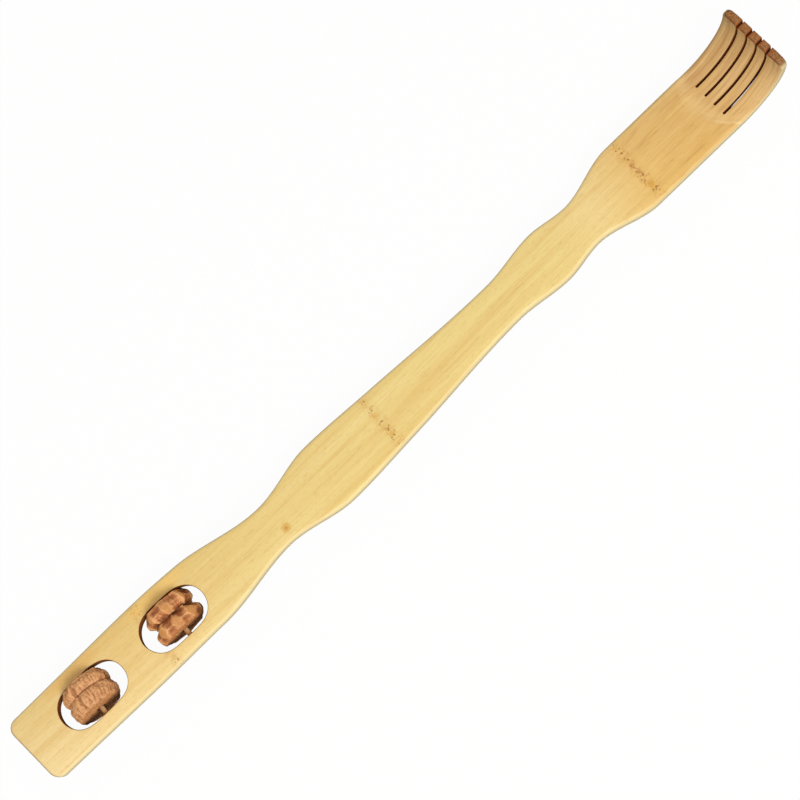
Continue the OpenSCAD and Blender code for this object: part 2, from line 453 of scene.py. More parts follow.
def edge_mesh(loops):
    """Points with values and faces of all edges and walls, and the rings that bound the slat's faces."""
    parts, faces = [], []
    top_ring, low_ring, borders = [], [], []
    base = 0
    for loop in loops:
        rows = rim_rows(*loop, pale=base == 0)
        parts += rows
        count = len(loop[0])
        after = [(i + 1) % count for i in range(count)]
        for k in range(len(rows) - 1):
            a, b = base + k * count, base + (k + 1) * count
            faces += [(a + i, b + i, b + j, a + j) for i, j in enumerate(after)]
        start = len(top_ring)
        borders += [(start + i, start + j) for i, j in enumerate(after)]
        top_ring += range(base, base + count)
        base += len(rows) * count
        low_ring += range(base - count, base)
    values = [np.concatenate(column) for column in zip(*parts)]
    return values, faces, (top_ring, low_ring, borders)


def handle_mesh():
    """Points of the slat with depth, scorch and share of wall, and its faces."""
    loops = [outer_loop()] + [window_loop(window) for window in WINDOWS]
    (flat, depth, burn, rim), faces, (top_ring, low_ring, borders) = edge_mesh(loops)
    inner = inner_points(flat[top_ring])
    base, count = len(flat), len(inner)
    top_ids = top_ring + list(range(base, base + count))
    low_ids = low_ring + list(range(base + count, base + 2 * count))
    coords = [Vector(p) for p in np.concatenate([flat[top_ring], inner])]
    found = delaunay_2d_cdt(coords, borders, [], FILL_INSIDE, FILL_NEAR)
    source = [made[0] for made in found[3]]
    window_start = len(loops[0][0])
    for face in found[2]:
        corners = [source[v] for v in face]
        if all(window_start <= v < len(top_ring) for v in corners):
            continue
        faces.append(tuple(top_ids[v] for v in corners))
        faces.append(tuple(low_ids[v] for v in reversed(corners)))
    flat = np.concatenate([flat, inner, inner])
    depth = np.concatenate([depth, np.zeros(count), thickness(inner[:, 0])])
    plain = np.zeros(2 * count)
    return flat, depth, np.concatenate([burn, plain]), np.concatenate([rim, plain]), faces


def build_handle():
    flat, depth, burn, rim, faces = handle_mesh()
    s, y = flat[:, 0], flat[:, 1]
    share = depth / thickness(s)
    hand = 0.5 + 0.5 * rough(np.stack([s, np.sign(y) * FULL_W, 0 * s], axis=1), 0.045, 3)
    across = y * (1 - SANDED * hand)
    wave = rough(np.stack([s, y, share * 30], axis=1), 0.07, 5)
    sink = palm_scoop(s, y) * (1 - share) + FACE_WAVE * (1 + wave) * (1 - 2 * share)
    slant = BUTT_SLANT * (0.5 - y / FULL_W) * np.maximum(0, 1 - s / BUTT_SLANT_RUN) ** 2
    bow = BOW * smooth_step(s, BOW_START, BOW_FULL) * (1 - smooth_step(s, BOW_FADE, BOW_END))
    points = bent(s + slant, across - bow, depth + np.clip(sink, -2 * FACE_WAVE, None))
    slat = np.stack([s, y, depth], axis=1) * MM
    made = make_object("bamboo_slat", points, faces, {"slat": slat, "burn": burn, "rim": rim})
    made.data.materials.append(bamboo_material())
    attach(made, "handle")
    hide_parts("bamboo_handle")


# Rollers

TURN_STEPS = 240
FINE_STEP, ROW_STEP = 0.12, 0.2
NO_CUT = 99.0
CARVED_BLEND = 0.05
CUT_FULL = 1.8

# Turned blanks of the rollers, with pairs for the rows and ends at -Y and at +Y
# The crests and the groove lean round the axle by the two skews, and the end at -Y is lopsided by lop
# The painted shadow line in the groove is clear only near a turn, and over so many degrees to both sides
LOP_TURN = math.radians(-125)
UPPER_BLANK = dict(
    crests=(-4.8, 4.3), groove=-0.05, groove_r=11.2, steep=1.1, swell=0.04, soft=0.16,
    ends=(11.9, 11.9), rounding=(1.0, 0.7), slope=(0.6, 0.6), skew=(0.2, 0.6), lop=0.4, clear=(0, 180),
)
LOWER_BLANK = dict(
    crests=(-3.8, 4.8), groove=0.5, groove_r=12.5, steep=0.8, swell=0.03, soft=0.4,
    ends=(11.8, 10.9), rounding=(2.2, 1.4), slope=(0.4, 0.65), skew=(1.3, 0.3), lop=1.3, clear=(17, 30),
)
CLEAR_FADE = 12
CLEAR_FADE_SHARE = 0.65
GROOVE_LINE = 0.32

# Notches between the lozenges of the lobed roller, shallower towards the ends
NOTCH_MOST = 2.3
NOTCH_FADE = 0.45
NOTCH_FADE_RUN = (3, 0.2)

# Gouges of the rough roller
GOUGE_ROOT = 9.8
GOUGE_CURVE = 0.03
GOUGE_TURN = 0.9

# Fine relief, as a scale of noise for waves, strands and pits
FIBRE_SCALES = (0.3, 1.3, 0.9)
FIBRE_SINK = 0.45
STRAND_STRETCH = 0.16
RIDGE_SIZES = ((3, 0.2), (9, 0.9))
RIDGE_END, RIDGE_FULL = 0.8, 2.2

# Rings of the ends of a roller, as shares of the way from the bore to the rim
END_SHARES = [0, 0.06, 0.15, 0.25, 0.35, 0.45, 0.55, 0.65, 0.75, 0.85, 0.93, 0.98]
END_R = 9
END_INSET = 0.12
END_RUN = 3


def roller_rows():
    """Distances along the roller at which its outside is drawn, closer together near its ends."""
    half = ROLLER_LEN / 2
    return np.concatenate([
        even(-half, -half + 1, FINE_STEP),
        even(-half + 1, half - 1, ROW_STEP),
        half - even(0, 1, FINE_STEP)[::-1],
    ])


def groove_place(theta, blank):
    return blank["groove"] - blank["skew"][1] * np.sin(theta)


def turned_radius(theta, along, blank):
    """Radius of the turned blank: two beads with a groove between them and rounded ends."""
    past = along - groove_place(theta, blank)
    keys = ("crests", "ends", "rounding", "slope")
    crest, end, rounding, slope = [np.where(past > 0, *blank[key][::-1]) for key in keys]
    inside = ROLLER_LEN / 2 - np.abs(along)
    end = end + np.where(past > 0, 0, blank["lop"]) * np.cos(theta - LOP_TURN)
    return soft_least([
        CREST_R - blank["swell"] * (along - crest + blank["skew"][0] * np.sin(theta)) ** 2,
        blank["groove_r"] + blank["steep"] * np.abs(past),
        end + rounding - round_drop(rounding, inside) + slope * np.maximum(0, inside - rounding),
    ], blank["soft"])


def turn_size(turn):
    """Size of a turn, at most half a circle."""
    return np.abs((turn + math.pi) % (2 * math.pi) - math.pi)


def turn_from(theta, along, cut):
    """Turn from the middle line of a cut, which runs a little askew along the roller."""
    return turn_size(theta - cut["turn"] - cut["twist"] * (along - cut["crest"]))


def same_row(along, blank, cut):
    return (along > blank["groove"]) == (cut["crest"] > blank["groove"])


def notch_radius(theta, along, turned, blank, notch):
    """Radius of a notch, which grows deeper and wider away from its ridge at the crest."""
    away = along - notch["crest"]
    inner = away * notch["crest"] < 0
    gap = np.abs(away) / np.where(inner, notch["reach"][0], notch["reach"][1])
    width = math.pi / LOBES - notch["lozenge"] * np.clip(1 - gap, 0, 1)
    start, full = [ROLLER_LEN / 2 - run for run in NOTCH_FADE_RUN]
    fade = 1 - NOTCH_FADE * smooth_step(np.abs(along), start, full)
    depth = np.minimum(notch["ridge"] + notch["fall"] * np.abs(away), NOTCH_MOST) * fade
    turn = turn_from(theta, along, notch)
    radius = turned - depth * (1 - (turn / width) ** 2)
    return np.where((turn < width) & same_row(along, blank, notch), radius, NO_CUT)


def upper_notches(rng):
    """Notches of the lobed roller: narrow lozenges in the row at +Y, wide ones in the row at -Y."""
    near, far = UPPER_BLANK["crests"]
    made = []
    for crest, lozenge, reach, ridge in [(far, 0.1, (3.8, 6.5), 1.0), (near, 0.19, (3.9, 3.4), 0.9)]:
        for k in range(LOBES):
            made.append({
                "crest": crest + rng.uniform(-0.5, 0.5),
                "lozenge": lozenge + rng.uniform(-0.035, 0.035),
                "reach": reach,
                "ridge": ridge + rng.uniform(-0.25, 0.25),
                "fall": 0.42 + rng.uniform(-0.08, 0.08),
                "twist": rng.uniform(-0.025, 0.025),
                "turn": math.radians(UPPER_TURN + 360 / LOBES * (k + 0.5) + rng.uniform(-2.5, 2.5)),
            })
    return made


def gouge_radius(theta, along, turned, blank, gouge):
    """Radius of a rough gouge along the roller, with a keen bottom."""
    away = np.abs(along - gouge["crest"])
    root = np.maximum(GOUGE_ROOT, gouge["root"] - gouge["fall"] * away - GOUGE_CURVE * away ** 2)
    turn = turn_from(theta, along, gouge)
    radius = root + gouge["keen"] * turn + gouge["bowl"] * turn ** 2
    return np.where((turn < GOUGE_TURN) & same_row(along, blank, gouge), radius, NO_CUT)


def lower_gouges(rng):
    """Gouges of the rough roller: a sharp one through both rows, and shallow ones round the rest."""
    made = []
    for crest in LOWER_BLANK["crests"]:
        root = 12.0 if crest > 0 else 12.5
        made.append(dict(crest=crest, root=root, fall=0.06, bowl=6.0, keen=10.0, twist=0.006,
                         turn=math.radians(LOWER_TURN)))
        for degrees in (-45, -92, -140, 55, 98, 140, 185):
            made.append({
                "crest": crest + rng.uniform(-0.8, 0.8),
                "root": 13.5 + rng.uniform(-0.6, 0.3),
                "fall": 0.2 + rng.uniform(-0.15, 0.15),
                "bowl": 8 + rng.uniform(-1, 4),
                "keen": rng.uniform(0, 1.5),
                "twist": rng.uniform(-0.03, 0.03),
                "turn": math.radians(LOWER_TURN + degrees + rng.uniform(-7, 7)),
            })
    return made


def soften(grid, reach):
    """Mean of a grid of rows and turns over its neighbours."""
    wide = sum(np.roll(grid, k, axis=1) for k in range(-reach, reach + 1)) / (2 * reach + 1)
    padded = np.pad(wide, ((reach, reach), (0, 0)), mode="edge")
    return sum(padded[k:k + len(grid)] for k in range(2 * reach + 1)) / (2 * reach + 1)


def fibre_detail(theta, along, fibre, seed):
    """Fine relief of waves, strands along the grain and pits, mostly below the carved surface."""
    round_x, round_z = np.sin(theta) * CREST_R, np.cos(theta) * CREST_R
    total = 0
    for k, stretch in enumerate((1, STRAND_STRETCH, 1)):
        points = np.stack([round_x, along * stretch, round_z], axis=-1).reshape(-1, 3)
        values = rough(points, FIBRE_SCALES[k], seed + k).reshape(theta.shape)
        total = total + fibre[k] * (values - FIBRE_SINK)
    return total


def ridge_values(radius, along):
    """How far the surface stands out from what is round it, from -1 to 1, and not at all at the ends;
    the carved material paints highlights on ridges and shade in hollows from it.
    """
    stand = sum((radius - soften(radius, reach)) / height for reach, height in RIDGE_SIZES)
    return np.clip(stand, -1, 1) * smooth_step(ROLLER_LEN / 2 - np.abs(along), RIDGE_END, RIDGE_FULL)


def groove_line(theta, along, blank):
    """Share of the painted shadow line in the groove."""
    middle, reach = blank["clear"]
    turn = turn_size(theta - math.radians(middle))
    wear_and_painted_light = 1 - CLEAR_FADE_SHARE * smooth_step(turn, *np.radians([reach, reach + CLEAR_FADE]))
    return np.exp(-((along - groove_place(theta, blank)) / GROOVE_LINE) ** 2) * wear_and_painted_light


def roller_surface(blank, cut_radius, cuts, fibre, seed):
    """Radius over the roller's outside on a grid of rows and turns, with values for its colours."""
    turns = np.linspace(0, 2 * math.pi, TURN_STEPS, endpoint=False)
    rows = roller_rows()
    theta, along = np.meshgrid(turns, rows)
    turned = turned_radius(theta, along, blank)
    cut_radii = [cut_radius(theta, along, turned, blank, cut) for cut in cuts]
    carved = soft_least([turned] + cut_radii, CARVED_BLEND)
    radius = np.minimum(carved + fibre_detail(theta, along, fibre, seed), CREST_R)
    return {
        "turns": turns,
        "rows": rows,
        "radius": radius,
        "cut": np.clip((turned - carved) / CUT_FULL, 0, 1),
        "ridge": ridge_values(radius, along),
        "line": groove_line(theta, along, blank),
    }


def end_trim(edge, ragged, seed, side):
    """How far the ragged rim of an end wears away, less at the -Y end."""
    wear_and_painted_light = rough(edge, 0.4, seed + side) + 0.6 * rough(edge, 1.3, seed + 3 * side)
    return (0.6 + 0.4 * side) * ragged * np.abs(wear_and_painted_light)


def roller_mesh(surface, ragged, seed):
    """Closed mesh of a roller round the Y axis: its outside, both ends and its bore."""
    sin, cos = np.sin(surface["turns"]), np.cos(surface["turns"])
    count, half = len(sin), ROLLER_LEN / 2
    edge = np.stack([sin * END_R, 0 * sin, cos * END_R], axis=1)
    trim = {side: end_trim(edge, ragged, seed, side) for side in (-1, 1)}
    points, values = [], []

    def ring(size, along, cut, ridge, line, end):
        points.append(np.stack([size * sin, along, size * cos], axis=1))
        values.append(np.stack([np.broadcast_to(v, (count,)) for v in (cut, ridge, line, end)], axis=1))

    def end_rings(side, shares):
        rim = surface["radius"][0 if side < 0 else -1] - END_INSET
        for share in shares:
            spots = rough(edge * (0.15 + share), 0.8, seed + 5)
            strands = rough(edge * np.array([1, 1, 0.25]) * (0.15 + share), 1.6, seed + 7)
            size = BORE_R + (rim - BORE_R) * share
            torn = ragged * 0.3 * (1 + strands) * (1 - share)
            sunk = 0.06 + 0.05 * (1 + spots) + torn + trim[side] * share
            ring(size, side * (half - sunk), 0.4, np.clip(2.2 * strands, -1, 1), 0.0, 1.0)

    end_rings(-1, END_SHARES)
    for k, along in enumerate(surface["rows"]):
        side = 1 if along > 0 else -1
        near = smooth_step(abs(along), half - END_RUN, half)
        place = along - side * (trim[side] + 0.05) * near
        cut, ridge, line = [surface[key][k] for key in ("cut", "ridge", "line")]
        ring(surface["radius"][k], place, cut, ridge, line, smooth_step(abs(along), half - 0.5, half))
    end_rings(1, END_SHARES[::-1])
    total = len(points)
    faces = []
    for k in range(total):
        faces += band_faces(k * count, (k + 1) % total * count, count)
    points, values = np.concatenate(points), np.concatenate(values)
    named = {name: values[:, i] for i, name in enumerate(("cut", "ridge", "line", "end"))}
    return points, faces, {**named, "wood": points * MM}


def build_roller(node, surface, ragged, lean, seed, material):
    """Roller on its joint, tilted on its loose axle, and moved along it and up."""
    tilt, slide, rise = lean
    points, faces, attributes = roller_mesh(surface, ragged, seed)
    points = points @ np.array(Matrix.Rotation(math.radians(tilt), 3, "X")).T
    centre = joint_mm(node) + np.array([0, slide, rise])
    made = make_object("carved_" + node, points + centre, faces, attributes)
    made.data.materials.append(material)
    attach(made, node)
    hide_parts(node)


def build_rollers():
    rng = np.random.default_rng(11)
    upper = roller_surface(UPPER_BLANK, notch_radius, upper_notches(rng), (0.34, 0.1, 0.05), 21)
    upper_wood = carved_material("lobed_wood", 0.6, 0.38, 0.65, LOBED_TONES)
    build_roller("upper_roller", upper, 0.25, (1.5, 0.55, 0.2), 21, upper_wood)
    lower = roller_surface(LOWER_BLANK, gouge_radius, lower_gouges(rng), (0.5, 0.3, 0.3), 34)
    lower_wood = carved_material("rough_wood", 0.15, 0.58, 0.54, ROUGH_TONES)
    build_roller("lower_roller", lower, 0.5, (-4.3, 1.2, 0.3), 34, lower_wood)


# Axles

PIN_TURNS = 28
PIN_STEP = 0.7
PIN_STOPS = np.array([0.0, 0.08, 0.2])
PIN_END = 0.5
PIN_ROUND, PIN_ROUND_RUN = 0.25, 0.2
PIN_DENT = 0.035
PIN_TIP = 0.05


def pin_rings(radius, length, seed):
    """Rings of points along a pin that reaches by length to both sides, not quite round."""
    turns = np.linspace(0, 2 * math.pi, PIN_TURNS, endpoint=False)
    sin, cos = np.sin(turns), np.cos(turns)
    body = even(-length + PIN_END, length - PIN_END, PIN_STEP)
    stops = [PIN_STOPS - length, body, [length - PIN_END], length - PIN_STOPS[::-1]]
    rings = []
    for along in np.concatenate(stops):
        near = length - abs(along)
        size = radius - PIN_ROUND * max(0.0, 1 - near / PIN_ROUND_RUN) ** 2
        ring = np.stack([size * sin, np.full(PIN_TURNS, along), size * cos], axis=1)
        dent = PIN_DENT * (1 + rough(ring * np.array([1, 0.08, 1]), 1.1, seed))
        ring[:, 0] *= 1 - dent
        ring[:, 2] *= 1 - dent
        rings.append(ring)
    return rings


def build_axle(node, seed, material):
    """A split bamboo pin with slightly rounded ends."""
    low, high = box_mm(node)
    middle, half = (low + high) / 2, (high - low) / 2
    rings = pin_rings(half[0], half[1], seed)
    faces = []
    for k in range(len(rings) - 1):
        faces += band_faces(k * PIN_TURNS, (k + 1) * PIN_TURNS, PIN_TURNS)
    first = len(rings) * PIN_TURNS
    for i in range(PIN_TURNS):
        j = (i + 1) % PIN_TURNS
        faces.append((first, j, i))
        faces.append((first + 1, first - PIN_TURNS + i, first - PIN_TURNS + j))
    tips = np.array([[0, -half[1] + PIN_TIP, 0], [0, half[1] - PIN_TIP, 0]])
    points = np.concatenate(rings + [tips])
    made = make_object("pin_" + node, points + middle, faces, {"wood": points * MM})
    made.data.materials.append(material)
    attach(made, "handle")
    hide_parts(node)


# Shader nodes

def add(tree, kind, values=None, **settings):
    """New shader node with its settings, its plain values and its links."""
    made = tree.nodes.new("ShaderNode" + kind)
    for key, value in settings.items():
        setattr(made, key, value)
    for key, value in (values or {}).items():
        if isinstance(value, bpy.types.NodeSocket):
            tree.links.new(value, made.inputs[key])
        else:
            made.inputs[key].default_value = value
    return made


def calc(tree, operation, first, second=0.0):
    return add(tree, "Math", {0: first, 1: second}, operation=operation).outputs[0]


def times(tree, first, second):
    return calc(tree, "MULTIPLY", first, second)


def less(tree, first, second):
    return calc(tree, "SUBTRACT", first, second)


def mix(tree, share, first, second):
    return add(tree, "Mix", {0: share, 6: first, 7: second}, data_type="RGBA").outputs[2]


def span(tree, value, low, high, to_low=0.0, to_high=1.0):
    """Value mapped smoothly from one range to another, held at the ends."""
    values = {0: value, 1: low, 2: high, 3: to_low, 4: to_high}
    return add(tree, "MapRange", values, interpolation_type="SMOOTHSTEP").outputs[0]


def tinted(tree, colour, layers, where=None):
    """Colour with tones laid over it in turn.

    A layer is a value, the range that it is mapped from, the shares that it is mapped to, and its tone.
    Where, if it is given, is a share that holds for all the layers.
    """
    for value, low, high, to_low, to_high, tone in layers:
        share = span(tree, value, low, high, to_low, to_high)
        if where is not None:
            share = times(tree, where, share)
        colour = mix(tree, share, colour, tone)
    return colour


def ramp(tree, value, places, tones):
    made = add(tree, "ValToRGB", {0: value})
    ends = made.color_ramp.elements
    for place in places[2:]:
        ends.new(place)
    for element, place, tone in zip(ends, places, tones):
        element.position = place
        element.color = tone
    return made.outputs[0]


def attribute(tree, name, output="Fac"):
    return add(tree, "Attribute", attribute_name=name).outputs[output]


def stretched(tree, place, scale):
    return add(tree, "VectorMath", {0: place, 1: scale}, operation="MULTIPLY").outputs[0]


def noisy(tree, place, scale, detail=2.0, kind=0.5):
    """Noise over a place stretched by a scale for each axis, in features to the metre."""
    values = {"Vector": stretched(tree, place, scale), "Scale": 1.0, "Detail": detail, "Roughness": kind}
    return add(tree, "TexNoise", values).outputs[0]


def sway(tree, place, scale, size):
    """Noise about zero, whose whole range is of a size."""
    return times(tree, less(tree, noisy(tree, place, scale), 0.5), size)


def new_material(name):
    material = bpy.data.materials.new(name)
    material.use_nodes = True
    tree = material.node_tree
    return material, tree, tree.nodes["Principled BSDF"]


def finish_material(tree, shader, colour, roughness, height, depth, specular):
    bump = add(tree, "Bump", {"Height": height, "Strength": 0.6, "Distance": depth})
    tree.links.new(colour, shader.inputs["Base Color"])
    tree.links.new(roughness, shader.inputs["Roughness"])
    tree.links.new(bump.outputs[0], shader.inputs["Normal"])
    shader.inputs["Specular IOR Level"].default_value = specular


# Bamboo

# Tones from end to end: place, and tone at the -Y and at the +Y side; the -Y side is paler as painted
# light and the +Y side darker as painted shade
TONES = [
    (0.00, paint(254, 229, 170), paint(235, 207, 141)),
    (0.14, paint(250, 222, 155), paint(232, 200, 127)),
    (0.26, paint(246, 221, 150), paint(234, 204, 129)),
    (0.45, paint(245, 220, 142), paint(239, 215, 142)),
    (0.70, paint(245, 220, 143), paint(239, 216, 144)),
    (0.76, paint(248, 221, 150), paint(242, 217, 151)),
    (0.82, paint(240, 198, 117), paint(231, 192, 121)),
    (0.88, paint(231, 186, 106), paint(221, 180, 111)),
    (1.00, paint(246, 208, 150), paint(205, 167, 114)),
]
TONE_HALF = 0.019
CULM_NODES = (0.088, 0.2422, 0.4170)
NODE_HALF = 0.0049
STEAMED = (0.414, 0.428)
PALM_RUN = 0.008
CREASE_HALF = 0.0019

# Marks of the bamboo: place along and across and radius in millimetres, share and tone
SCAR = paint(134, 82, 30)
AMBER = paint(216, 156, 46)
SPOTS = [
    (172.4, -5.3, 3.4, 0.6, AMBER),
    (172.2, -5.5, 1.2, 0.5, paint(190, 112, 36)),
    (90.6, 17.2, 0.9, 0.56, SCAR),
    (92.0, 16.6, 0.6, 0.40, SCAR),
    (86.8, -17.2, 0.6, 0.40, SCAR),
    (88.9, -17.3, 0.9, 0.48, SCAR),
    (417.2, 17.2, 0.7, 0.48, SCAR),
    (417.2, 11.4, 0.8, 0.72, SCAR),
    (417.2, 6.8, 0.9, 0.72, SCAR),
    (416.6, 3.4, 2.2, 0.5, paint(184, 118, 56)),
    (417.0, 0.9, 0.7, 0.56, SCAR),
    (416.8, -1.4, 1.7, 0.55, paint(176, 108, 58)),
    (417.3, -3.6, 0.9, 0.72, SCAR),
    (415.8, -3.6, 0.6, 0.48, SCAR),
    (416.8, -10.1, 2.6, 0.6, AMBER),
    (415.6, -12.7, 0.7, 0.64, SCAR),
    (417.6, -12.6, 0.8, 0.72, SCAR),
    (242.6, 13.2, 0.7, 0.64, SCAR),
    (241.0, 13.0, 0.5, 0.56, SCAR),
    (242.4, 7.2, 0.7, 0.64, SCAR),
    (240.8, 7.2, 0.5, 0.56, SCAR),
    (241.8, 4.0, 2.2, 0.35, AMBER),
    (242.5, -0.2, 0.8, 0.72, SCAR),
    (241.2, -0.4, 0.6, 0.48, SCAR),
    (242.4, -5.3, 0.7, 0.56, SCAR),
    (242.0, -8.2, 2.4, 0.45, AMBER),
    (242.7, -9.5, 0.8, 0.68, SCAR),
    (240.8, -9.7, 0.7, 0.64, SCAR),
]

# Painted shade with warm bounced light, beside the rollers and on the outer finger: place along and
# across, share and tone
PAINTED_SHADE_PATCHES = [
    (43.4, 15.8, 0.75, paint(234, 188, 112)),
    (101.0, 15.3, 0.6, paint(255, 210, 122)),
    (478.0, 14.6, 0.55, paint(204, 158, 94)),
]
PATCH_LONG, PATCH_WIDE = 20.0, 4.5


def grain_tones(tree, place, along, across, fine):
    """Tones of the slat from end to end and from side to side, with its grain; the difference from side
    to side is painted light on the -Y side and painted shade on the +Y side.
    """
    share = calc(tree, "DIVIDE", along, SLAT_LEN * MM)
    side = add(tree, "MapRange", {0: across, 1: -TONE_HALF, 2: TONE_HALF}).outputs[0]
    places, lit, dim = zip(*TONES)
    # The -Y and +Y tones are lit and shaded copies: painted light and painted shade
    colour = mix(tree, side, ramp(tree, share, places, lit), ramp(tree, share, places, dim))
    broad = noisy(tree, place, (5, 190, 190), 3.0)
    dashes = noisy(tree, place, (130, 2600, 2600), 1.0)
    return tinted(tree, colour, [
        (broad, 0.42, 0.72, 0, 0.45, paint(225, 184, 104)),
        (broad, 0.28, 0.45, 0.3, 0, paint(250, 228, 168)),
        (fine, 0.5, 0.75, 0, 0.3, paint(200, 152, 80)),
        (fine, 0.25, 0.45, 0.28, 0, paint(252, 232, 174)),
        (dashes, 0.6, 0.74, 0, 0.25, paint(168, 116, 54)),
    ])


def node_bands(tree, along, place):
    """Share from 0 to 1 of the bands where the culm had its nodes, a little wavy across the slat."""
    moved = calc(tree, "ADD", along, sway(tree, place, (4, 160, 60), 0.006))
    total = None
    for node_place in CULM_NODES:
        away = calc(tree, "ABSOLUTE", less(tree, moved, node_place))
        band = span(tree, away, 0.0, NODE_HALF, 1.0, 0.0)
        total = band if total is None else calc(tree, "MAXIMUM", total, band)
    return total


def pits(tree, place, band):
    """Small dark pits scattered over the node bands."""
    values = {"Vector": stretched(tree, place, (700, 560, 560)), "Scale": 1.0, "Randomness": 1.0}
    cells = add(tree, "TexVoronoi", values)
    spot = span(tree, cells.outputs["Distance"], 0.16, 0.34, 1.0, 0.0)
    patch = span(tree, noisy(tree, place, (90, 130, 130)), 0.40, 0.50)
    return times(tree, times(tree, spot, patch), band)


def node_tones(tree, colour, place, along):
    """Scars and pits of the culm's nodes."""
    band = node_bands(tree, along, place)
    scars = noisy(tree, place, (300, 420, 420), 3.0, 0.7)
    colour = tinted(tree, colour, [(scars, 0.42, 0.6, 0.05, 0.42, paint(206, 144, 58))], band)
    return mix(tree, times(tree, pits(tree, place, band), 0.85), colour, paint(150, 88, 34))


def mark_tones(tree, colour, place, along, across):
    """Frayed marks at places of their own, and painted shade with warm bounced light beside the rollers
    and on the outer finger.
    """
    frayed = sway(tree, place, (900, 900, 900), 0.8)
    for spot_along, spot_across, radius, share, tone in SPOTS:
        spot = (spot_along * MM, spot_across * MM, 0.0)
        away = add(tree, "VectorMath", {0: place, 1: spot}, operation="DISTANCE")
        size = calc(tree, "DIVIDE", away.outputs["Value"], radius * MM)
        size = calc(tree, "ADD", size, frayed)
        colour = mix(tree, span(tree, size, 0.3, 1.0, share, 0.0), colour, tone)
    # Painted shade and warm bounced light
    for patch_along, patch_across, share, tone in PAINTED_SHADE_PATCHES:
        over_x = calc(tree, "DIVIDE", less(tree, along, patch_along * MM), PATCH_LONG * MM)
        over_y = calc(tree, "DIVIDE", less(tree, across, patch_across * MM), PATCH_WIDE * MM)
        far = calc(tree, "ADD", times(tree, over_x, over_x), times(tree, over_y, over_y))
        colour = mix(tree, span(tree, far, 0.0, 1.3, share, 0.0), colour, tone)
    return colour


def past_crease(tree, along, across):
    """Distance past the crease where the palm's scooped face starts."""
    share = calc(tree, "DIVIDE", less(tree, across, SCOOP_MIDDLE * MM), SCOOP_HALF * MM)
    bow = times(tree, times(tree, share, share), SCOOP_BOW * MM)
    return less(tree, less(tree, along, SCOOP_PLACE * MM), bow)


def palm_tones(tree, colour, place, along, past):
    """Mottling, smears where the slat was steamed, and streaks of the palm and the fingers."""
    mottle = noisy(tree, place, (420, 620, 620), 2.0)
    colour = tinted(tree, colour, [
        (mottle, 0.5, 0.75, 0, 0.16, paint(206, 156, 84)),
        (past, 0.0, PALM_RUN, 0, 0.25, paint(208, 164, 116)),
    ])
    smears = noisy(tree, place, (34, 330, 60), 3.0, 0.6)
    colour = tinted(tree, colour, [
        (smears, 0.54, 0.7, 0, 0.45, paint(196, 142, 76)),
        (smears, 0.3, 0.46, 0.4, 0, paint(246, 208, 140)),
    ], span(tree, along, *STEAMED))
    streaks = noisy(tree, place, (24, 760, 300), 3.0, 0.65)
    return tinted(tree, colour, [
        (streaks, 0.5, 0.68, 0, 0.42, paint(172, 122, 68)),
        (streaks, 0.32, 0.48, 0.42, 0, paint(244, 208, 150)),
    ], span(tree, past, 0.0, PALM_RUN))


def crease_tones(tree, colour, place, across, past):
    """Pale crease painted as a highlight where the palm's scooped face starts, fainter towards +Y, and a
    pale halo past it.
    """
    faint = span(tree, across, -0.016, -0.004, 0.9, 0.2)
    patchy = span(tree, noisy(tree, place, (150, 260, 60), 2.0), 0.35, 0.6, 0.5, 1.0)
    edge = span(tree, calc(tree, "ABSOLUTE", past), 0.0, CREASE_HALF, 1.0, 0.0)
    edge = times(tree, times(tree, edge, faint), patchy)
    # Painted highlight along the crease
    colour = mix(tree, edge, colour, paint(250, 220, 158))
    halo = times(tree, span(tree, past, 0.0, 0.002), span(tree, past, 0.002, 0.009, 0.28, 0.0))
    return mix(tree, times(tree, halo, patchy), colour, paint(250, 218, 158))


def edge_tones(tree, colour, place, along, depth):
    """Painted highlights along the rounded edges, pale sides that are partly painted light, and scorched
    end grain.
    """
    rim, burn = attribute(tree, "rim"), attribute(tree, "burn")
    # Painted highlight along the rounded edges, ending before the claw
    wear_and_painted_light = times(tree, span(tree, rim, 0.02, 0.3), span(tree, rim, 0.5, 0.95, 1.0, 0.0))
    wear_and_painted_light = times(tree, wear_and_painted_light, span(tree, along, 0.36, 0.46, 0.42, 0.0))
    colour = mix(tree, wear_and_painted_light, colour, paint(255, 238, 188))
    speckle = noisy(tree, place, (400, 1700, 1700), 2.0, 0.7)
    end_grain = tinted(tree, paint(174, 122, 68), [
        (speckle, 0.38, 0.64, 0, 1.0, paint(116, 70, 33)),
        (depth, 0.0005, 0.0014, 0.75, 0, paint(108, 58, 24)),
    ])
    # The sides are paler, partly their own tone and partly painted light
    return tinted(tree, colour, [
        (rim, 0.4, 1.0, 0, 0.95, paint(255, 238, 186)),
        (burn, 0.05, 0.6, 0, 1.0, end_grain),
        (burn, 0.74, 0.98, 0, 1.0, paint(150, 84, 36)),
    ])


def bamboo_material():
    material, tree, shader = new_material("bamboo")
    place = attribute(tree, "slat", "Vector")
    along, across, depth = add(tree, "SeparateXYZ", {0: place}).outputs
    fine = noisy(tree, place, (26, 1500, 1500), 3.0, 0.6)
    past = past_crease(tree, along, across)
    colour = grain_tones(tree, place, along, across, fine)
    colour = node_tones(tree, colour, place, along)
    colour = mark_tones(tree, colour, place, along, across)
    colour = palm_tones(tree, colour, place, along, past)
    colour = crease_tones(tree, colour, place, across, past)
    colour = edge_tones(tree, colour, place, along, depth)
    roughness = span(tree, fine, 0.3, 0.7, 0.38, 0.55)
    finish_material(tree, shader, colour, roughness, fine, 0.00012, 0.35)
    return material


